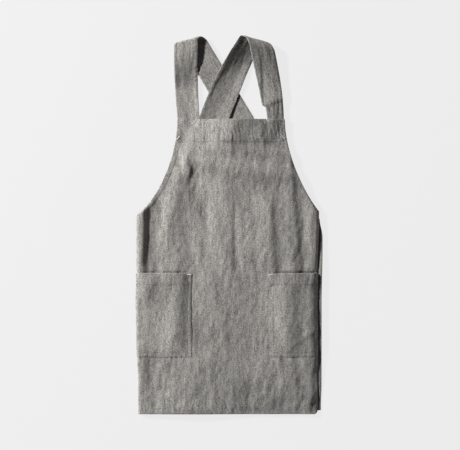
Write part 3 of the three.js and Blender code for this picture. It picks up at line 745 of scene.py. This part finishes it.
def make_pocket(side):
    """A pocket's cloth, its stitches and its bar tack."""
    columns = pocket_columns(side)
    count = int(round(POCKET_HEIGHT / CELL))
    levels = POCKET_BOTTOM_Y + POCKET_HEIGHT / count * np.arange(-SPARE, count + SPARE + 1)

    def raised(u, v):
        low = plain_height(u, v)
        room = at_least(LOWEST, SKIRT_HEIGHT + fold_lift(u, v)) + ROOM_SHOWN
        room = room + crumple(u, v, POCKET_SEED[side], 0.9)
        return mix(low, np.maximum(low, room), pocket_share(side, u, v))

    grid = front_grid(columns, (levels, levels), raised)
    u, v = grid[:, :, 0], grid[:, :, 1]
    to_seam = POCKET_WIDTH[side] - from_side(side, u)
    to_base = v - POCKET_BOTTOM_Y
    to_mouth = POCKET_TOP_Y - v
    to_edge = np.minimum(to_seam, to_base)
    to_hem = to_mouth - POCKET_HEM_DEPTH
    grid[:, :, 2] += pucker(v + 0.3 * u, u, to_seam, pitch=11, reach=9, height=0.4, seed=51)
    grid[:, :, 2] += pucker(u, v, to_base, pitch=10, reach=9, height=0.4, seed=53)
    grid[:, :, 2] += pucker(u + 0.2 * v, v, to_hem, pitch=11, reach=12, height=0.35, seed=57)
    doubled = smooth(7, 5, to_edge) * EDGE_DOUBLED + smooth(1, -1, to_hem) * MOUTH_DOUBLED
    doubled = doubled - smooth(EDGE_THIN_REACH, 0, to_edge) * EDGE_THIN
    seam = np.minimum(to_edge - SEAM_ROWS[0], to_hem)
    second_seam = np.minimum(to_seam - SEAM_ROWS[1], to_base - BASE_GROOVE)
    crop = (slice(0, -SPARE) if side == "left" else slice(SPARE, None), slice(SPARE, -SPARE))
    sheet = Sheet(grid, POCKET_STAND + CLOTH / 2 + doubled, -POCKET_STAND + CLOTH / 2, grid[:, :, :2].copy(),
                  crop=crop, seam=near(seam), second_seam=near(second_seam))
    cloth = finish_cloth(sheet.build("pocket_cloth_" + side), POCKET_MATERIAL, "pocket_" + side)

    n, m = sheet.top.shape[:2]
    shares, ys = columns[0][crop[0]], levels[crop[1]]

    def column_at(inset):
        return np.interp(share_at(side, POCKET_WIDTH[side] - inset), shares, np.arange(n))

    def row_at(height):
        return np.interp(height, ys, np.arange(m))

    lines = []
    for inset in SEAM_ROWS:
        seam_column, base_row = column_at(inset), row_at(POCKET_BOTTOM_Y + inset)
        far_column = 3 if side == "left" else n - 4
        lines.append(along_line(sheet, np.full(m, seam_column), np.linspace(base_row, m - 1, m)))
        lines.append(along_line(sheet, np.linspace(far_column, seam_column, n), np.full(n, base_row)))
    hem_columns = (2, seam_column) if side == "left" else (seam_column, n - 3)
    hem_row = row_at(POCKET_TOP_Y - POCKET_HEM_DEPTH)
    lines.append(along_line(sheet, np.linspace(*hem_columns, n), np.full(n, hem_row)))
    stitches = stitch_mesh("pocket_stitches_" + side, lines)
    slope = 0.02 if side == "left" else -0.02
    place = column_at(TACK_INSET[side]), row_at(POCKET_TOP_Y - TACK_DROP)
    return cloth, stitches, tack(sheet, *place, np.array([1, slope, 0.0]))


pockets = {side: make_pocket(side) for side in SIDES}

# Bar tacks at the bib's corners and the armholes: place, direction, length
TACKS = [
    ((-86.5, 250.5), (1.0, 1.0), 12.0),
    ((93.8, 253.6), (1.0, -0.95), 9.0),
    ((-125.5, 211.5), (1.0, 1.0), 9.0),
    ((132.0, 212.0), (1.0, -1.0), 9.0),
]
tacks = [pockets[side][2] for side in SIDES]
for place, (dx, dy), long in TACKS:
    tacks.append(tack(front, *front_place(*place), np.array([dx, dy, 0.0]), long))
bar_tacks = stitch_mesh("bar_tacks", tacks, TACK_RADIUS, WHITE_THREAD)

# Back panels
BACK_OUTER = {"left": LEFT_X, "right": WIDTH / 2}
BACK_DROP = {"left": 4, "right": 18}  # of the top's outer corner below the underarm
INWARD = {"left": 1, "right": -1}
BACK_CURVE = 1.7
BACK_TOP_SHARE = 0.58
BACK_INSET = 0.8  # the left one stays this far inside the front's edge
BACK_EASE = 30  # from the outer edge to where the panel runs straight
CORNER_CUT = 7  # the right one's top corner is cut in by this much
REST = 0.15
BACK_SLOPE = {"left": (16, 0), "right": (30, BACK_LIP)}
EDGE_CURL = 4.0
# How far the right one's edge draws in: by how much, and from and to which y
EDGE_TAPERS = [(2.4, -60, -190), (1.6, -395, -440)]


def back_x(side, share):
    return BACK_OUTER[side] + INWARD[side] * BACK_WIDTH[side] * share


def back_top(side, share):
    """Where the panel's top edge runs in the plan, rising from the side to the strap."""
    risen = np.minimum(1, share / BACK_TOP_SHARE) ** BACK_CURVE
    return UNDERARM_Y[side] - BACK_DROP[side] + BACK_RISE * risen


def make_back(side):
    count = int(BACK_WIDTH[side] / BACK_CELL)
    share = np.linspace(0, 1, count + 1)
    if side == "right":
        share = share[::-1]
    share = share[:, None]
    t = np.linspace(0, 1, BACK_ROWS + 1)[None, :]
    x = back_x(side, share) + 0 * t
    y = mix(HEM_Y + BACK_HEM_LIFT, back_top(side, share), t)
    from_edge = np.abs(x - BACK_OUTER[side])
    ease = smooth(BACK_EASE, 0, from_edge)
    z = REST + side_lift(side, y) * smooth(*BACK_SLOPE[side], from_edge)
    over = CLOTH - 0.3
    if side == "left":
        x = x + np.maximum(0, edge_x("left", y) + BACK_INSET - BACK_OUTER["left"]) * ease
    else:
        x = x - CORNER_CUT * smooth(45, 0, back_top(side, share) - y) * smooth(40, 0, from_edge)
        curl = mix(0.45, 1, smooth(-50, -110, y)) * smooth(-345, -285, y)
        z = z + EDGE_CURL * curl * smooth(BACK_LIP, 3, from_edge)
        x = x - sum(inset * smooth(start, stop, y) for inset, start, stop in EDGE_TAPERS) * ease
        over = over + smooth(26, 20, from_edge) * (CLOTH - 0.2)
    grid = np.stack([x, y, z], axis=2)
    sheet = Sheet(grid, over, 0.1, grid[:, :, :2].copy())
    return finish_cloth(sheet.build("back_cloth_" + side), CLOTH_MATERIAL, "back_panel_" + side)


backs = {side: make_back(side) for side in SIDES}

# Straps. x in half bib widths, y in shoulder heights above the bib, tilt in degrees, and width, bow and sway
# in strap widths
RUNS = {
    "left": {
        "front": dict(x0=-0.763, y0=-0.183, tilt0=3, width0=0.84, x1=-0.837, y1=0.923, tilt1=15, width1=0.94,
                      bow=-0.064, sway=0),
        "back": dict(x0=-0.694, y0=0.908, tilt0=14, width0=1.02, x1=0.671, y1=0.26, tilt1=32, width1=0.98,
                     bow=0.02, sway=-0.006),
        "ends_on": "right", "widens": 1.0, "lift": 0.0,
    },
    "right": {
        "front": dict(x0=0.799, y0=-0.183, tilt0=4, width0=0.76, x1=0.578, y1=0.847, tilt1=-12, width1=0.995,
                      bow=0.106, sway=0.016),
        "back": dict(x0=0.385, y0=0.953, tilt0=-15, width0=0.92, x1=0.727, y1=0.2, tilt1=-22, width1=1.11,
                     bow=-0.065, sway=-0.069),
        "ends_on": "left", "widens": 0.4, "lift": STRAP_THICKNESS + 1.6 * SEAM_GAP,
    },
}
# Sections along each run: share of the run, and share of the rise to the fold, from the bib on a front run
# and from the surface on a back run. Then in millimetres: roll, the left edge over the right one, and cup,
# both edges over the middle.
SECTIONS = {
    ("left", "front"): [
        (0.0, 0.0, 0, 0), (0.18, 0.0, 0, 0), (0.28, -0.1, -5, 0), (0.4, -0.1, -5, -1), (0.52, 0.1, 1, -1),
        (0.64, 0.5, 7, 0), (0.76, 0.85, 6, 0), (0.88, 1.0, 1, 0), (1.0, 1.0, -3, 0),
    ],
    ("left", "back"): [
        (0.0, 1.0, -2, 0), (0.08, 1.15, -2, 0), (0.16, 0.9, 0, 0), (0.32, 0.2, 0, 1), (0.6, 0.0, 0, 0),
        (1.0, 0.0, 0, 0),
    ],
    ("right", "front"): [
        (0.0, 0.0, 0, 0), (0.18, 0.0, 0, 0), (0.3, -0.1, -2, 0), (0.44, -0.1, -6, 0), (0.66, 0.1, -1, 0),
        (0.84, 0.6, 12, 0), (1.0, 1.0, 18, 0),
    ],
    ("right", "back"): [
        (0.0, 1.0, 21, 2), (0.12, 0.6, 24, 3), (0.25, 0.1, 12, 5), (0.4, 0.0, 7, 4), (0.6, 0.0, 3, 3),
        (0.75, 0.0, 0, 0), (1.0, 0.0, 0, 0),
    ],
}
LOOP_RADIUS = {"left": 6, "right": 8}
RUN_LENGTH = {"front": 240, "back": 300}  # for the number of points along it
STEP_ON = (0.76, 0.87)  # shares of a back run between which it climbs onto the back panel
# The tuck in the right strap's left edge near the bib, and the crease that runs from it across the strap
TUCK = 8.5
TUCK_AT = 0.325
TUCK_STEP = 0.015
TUCK_REACH = 0.45
CREASE_END = 0.437
TUCK_CREASE = 1.8
CREASE_FLANKS = (0.034, 0.05)
# The cloth of a strap
STRAP_SEED = {"left": 91, "right": 97}
STRAP_PLACE = {"left": 0, "right": 300}  # in the cloth that it is cut from
STRAP_SEAM = 4.0  # stitches, from the edge
STITCH_COLUMN = 2.0
STILL = (90, 60)  # from the strap's end, between which the crumples fade out
EDGE_ROUNDING = 0.6
EDGE_REACH = 3


def run_point(side, name, t, w):
    """Plan of a run at share t of its length and w of its width."""
    run = RUNS[side][name]
    back = name == "back"
    ends_on = RUNS[side]["ends_on"]

    def bib_x(share):
        return BIB_SHIFT + share * BIB_WIDTH / 2

    end_x = back_x(ends_on, run["x1"]) if back else bib_x(run["x1"])
    end_y = back_top(ends_on, 1) - run["y1"] * STRAP_WIDTH if back else BIB_Y + run["y1"] * SHOULDER
    tilt = np.radians(mix(run["tilt0"], run["tilt1"], t))
    widens = RUNS[side]["widens"] if back else 1
    width = mix(run["width0"], run["width1"], smooth(0, widens, t)) * STRAP_WIDTH
    bow = (4 * run["bow"] + 12 * (1 - 2 * t) * run["sway"]) * t * (1 - t) * STRAP_WIDTH
    x = mix(bib_x(run["x0"]), end_x, t) + bow + w * width * np.cos(tilt)
    y = mix(BIB_Y + run["y0"] * SHOULDER, end_y, t) + w * width * np.sin(tilt)
    return x, y


def section(side, name, t):
    """Rise, roll and cup of a run at t, smoothly between its sections."""
    table = np.array(SECTIONS[(side, name)], float)
    at, values = table[:, 0], table[:, 1:]
    slopes = np.gradient(values, at, axis=0)
    t = np.broadcast_to(np.asarray(t, float), np.shape(t) or (1,))
    k = np.clip(np.searchsorted(at, t, side="right") - 1, 0, len(at) - 2)
    span = at[k + 1] - at[k]
    u = (t - at[k]) / span
    found = []
    for c in range(3):
        a, b = values[k, c], values[k + 1, c]
        da, db = slopes[k, c] * span, slopes[k + 1, c] * span
        found.append(a * (1 + 2 * u) * (1 - u) ** 2 + da * u * (1 - u) ** 2
                     + b * u * u * (3 - 2 * u) - db * u * u * (1 - u))
    return found


def bent(roll, cup, w):
    """Height over the middle line at w, from minus a half at the left edge to a half at the right one."""
    return -w * roll + cup * (4 * w * w - 0.33)


def steps_along(length):
    return np.linspace(0, 1, int(length / STRAP_CELL) + 1)[None, :]


def strap_grid(side):
    """Middle layer of a strap: the front run, the fold at the shoulder and the back run."""
    front_run, back_run, lift = (RUNS[side][k] for k in ("front", "back", "lift"))
    turn_tilt = math.radians((front_run["tilt1"] + back_run["tilt0"]) / 2)
    out = (-math.sin(turn_tilt), math.cos(turn_tilt))
    low_layer = STRAP_THICKNESS / 2
    loop_radius = LOOP_RADIUS[side]
    fold_low = LOOP_LIFT + lift + low_layer
    fold_top = fold_low + 2 * loop_radius
    under_bib = CLOTH / 2 + HEM_EXTRA + 2 * SEAM_GAP + low_layer
    on_back = CLOTH + SEAM_GAP + low_layer
    count = int(round(STRAP_WIDTH / STRAP_CELL))
    w = np.linspace(-0.5, 0.5, count + 1)[:, None]

    t = steps_along(RUN_LENGTH["front"])[:, :-1]
    x, y = run_point(side, "front", t, w)
    at_bib = front_height(x, np.minimum(y, BIB_Y)) - under_bib
    rise, roll, cup = section(side, "front", t)
    z = at_least(low_layer + 0.4, mix(at_bib, fold_top, rise) + bent(roll, cup, w), 1.0)
    if side == "right":
        from_left = w + 0.5
        x = x + TUCK * smooth(TUCK_AT + TUCK_STEP, TUCK_AT - TUCK_STEP, t) * smooth(TUCK_REACH, 0, from_left)
        past = t - mix(TUCK_AT, CREASE_END, from_left)
        z = z + TUCK_CREASE * np.exp(-((past / np.where(past < 0, *CREASE_FLANKS)) ** 2))
    parts = [(x, y, z)]

    t = steps_along(math.pi * loop_radius)[:, :-1]
    x0, y0 = run_point(side, "front", 1.0, w)
    x1, y1 = run_point(side, "back", 0.0, w)
    angle = t * math.pi
    x = mix(x0, x1, t) + out[0] * loop_radius * np.sin(angle)
    y = mix(y0, y1, t) + out[1] * loop_radius * np.sin(angle)
    over = bent(*section(side, "front", 1.0)[1:], w)
    under = bent(*section(side, "back", 0.0)[1:], w)
    z = fold_low + under + (loop_radius + (over - under) / 2) * (1 + np.cos(angle))
    parts.append((x, y, z))

    t = steps_along(RUN_LENGTH["back"])
    x, y = run_point(side, "back", t, w)
    floor = mix(low_layer + lift, on_back, smooth(*STEP_ON, t))
    rise, roll, cup = section(side, "back", t)
    shape = bent(roll, cup, w)
    z = mix(floor, fold_low, rise) + shape - shape.min(axis=0, keepdims=True) * (1 - rise)
    parts.append((x, y, z))
    return np.concatenate([np.stack([a + 0 * c, b + 0 * c, c], axis=2) for a, b, c in parts], axis=1)


def make_strap(side):
    """A strap's cloth and its stitches on both faces."""
    grid = strap_grid(side)
    n, m = grid.shape[:2]
    across = np.linspace(0, STRAP_WIDTH, n)[:, None] + np.zeros((1, m))
    walked = np.concatenate([[0], np.cumsum(np.linalg.norm(np.diff(grid[n // 2], axis=0), axis=1))])
    along = walked[None, :] + np.zeros((n, 1))
    flat = np.stack([across + STRAP_PLACE[side], along], axis=2)
    seed = STRAP_SEED[side]
    from_edge = np.minimum(across, STRAP_WIDTH - across)
    wrinkle = crumple(across * 1.6, along, seed, 0.5)
    wrinkle += pucker(along, across, from_edge - STRAP_SEAM, pitch=12, reach=8, height=0.35, seed=seed + 5)
    keep = 1 - smooth(walked[-1] - STILL[0], walked[-1] - STILL[1], along)
    grid = grid + normals_of(grid) * (wrinkle * keep)[:, :, None]
    grid[:, :, 2] = at_least(STRAP_THICKNESS / 2 + 0.1, grid[:, :, 2], 0.4)
    half = STRAP_THICKNESS / 2 - EDGE_ROUNDING * smooth(EDGE_REACH, 0, from_edge)
    sheet = Sheet(grid, half, half, flat, seam=near(from_edge - STRAP_SEAM))
    cloth = finish_cloth(sheet.build("strap_cloth_" + side), CLOTH_MATERIAL, "strap_" + side)
    lines = []
    for below in (False, True):
        for i in (STITCH_COLUMN, n - 1 - STITCH_COLUMN):
            lines.append(along_line(sheet, np.full(m, i), np.arange(m), below))
    return cloth, stitch_mesh("strap_stitches_" + side, lines)


straps = {side: make_strap(side) for side in SIDES}

# Floor, light and camera, in metres
FLOOR_SIZE = 60
FLOOR_DROP = 0.0004
FLOOR_GLOW = 0.795
WALL_RADIUS = 25.0
WALL_HEIGHT = 6.5
WALL_STEPS = 48
KEY_DISTANCE = 4.5
KEY_ELEVATION = math.radians(26)
KEY_AZIMUTH = math.radians(153)
KEY_SIZE = 0.5
KEY_POWER = 415
WORLD_LIGHT = 0.04
CAMERA_HEIGHT = 5.0
CAMERA_SHIFT = 0.0012
SENSOR = 36
PIXELS_ACROSS = 460
PIXEL = 0.00245

bpy.ops.mesh.primitive_plane_add(size=FLOOR_SIZE, location=(0, 0, -FLOOR_DROP))
floor = bpy.context.object
floor.name = "floor"
floor_material = plain("floor_pale", (0.05, 0.05, 0.05), 0.9)
floor_shader = floor_material.node_tree.nodes["Principled BSDF"]
floor_shader.inputs["Emission Color"].default_value = (1, 1, 1, 1)
floor_shader.inputs["Emission Strength"].default_value = FLOOR_GLOW
floor.data.materials.append(floor_material)

turns = np.linspace(0, 2 * math.pi, WALL_STEPS, endpoint=False)
ring = [(WALL_RADIUS * math.cos(a), WALL_RADIUS * math.sin(a)) for a in turns]
points = [(x / MM, y / MM, z / MM) for z in (-0.01, WALL_HEIGHT) for x, y in ring]
faces = []
for k in range(WALL_STEPS):
    after = (k + 1) % WALL_STEPS
    faces.append((k, after, WALL_STEPS + after, WALL_STEPS + k))
wall = mesh_object("studio_wall", points, faces)
wall.data.materials.append(floor_material)

scene = bpy.context.scene
scene.view_settings.view_transform = "Standard"
scene.view_settings.look = "None"
world = bpy.data.worlds.new("studio")
scene.world = world
world.use_nodes = True
world.node_tree.nodes["Background"].inputs["Color"].default_value = (1, 1, 1, 1)
world.node_tree.nodes["Background"].inputs["Strength"].default_value = WORLD_LIGHT

key = bpy.data.lights.new("key", "AREA")
key.shape = "DISK"
key.size = KEY_SIZE
key.energy = KEY_POWER
key_light = bpy.data.objects.new("key", key)
scene.collection.objects.link(key_light)
key_light.location = (
    KEY_DISTANCE * math.cos(KEY_ELEVATION) * math.cos(KEY_AZIMUTH),
    KEY_DISTANCE * math.cos(KEY_ELEVATION) * math.sin(KEY_AZIMUTH),
    KEY_DISTANCE * math.sin(KEY_ELEVATION),
)
key_light.rotation_euler = (-Vector(key_light.location)).to_track_quat("-Z", "Y").to_euler()

camera_data = bpy.data.cameras.new("camera")
camera = bpy.data.objects.new("camera", camera_data)
scene.collection.objects.link(camera)
camera.location = (CAMERA_SHIFT, -CAMERA_SHIFT, CAMERA_HEIGHT)
camera.rotation_euler = (0, 0, 0)
camera_data.sensor_width = SENSOR
camera_data.lens = SENSOR * CAMERA_HEIGHT / (PIXELS_ACROSS * PIXEL)
camera_data.clip_end = 50
scene.camera = camera
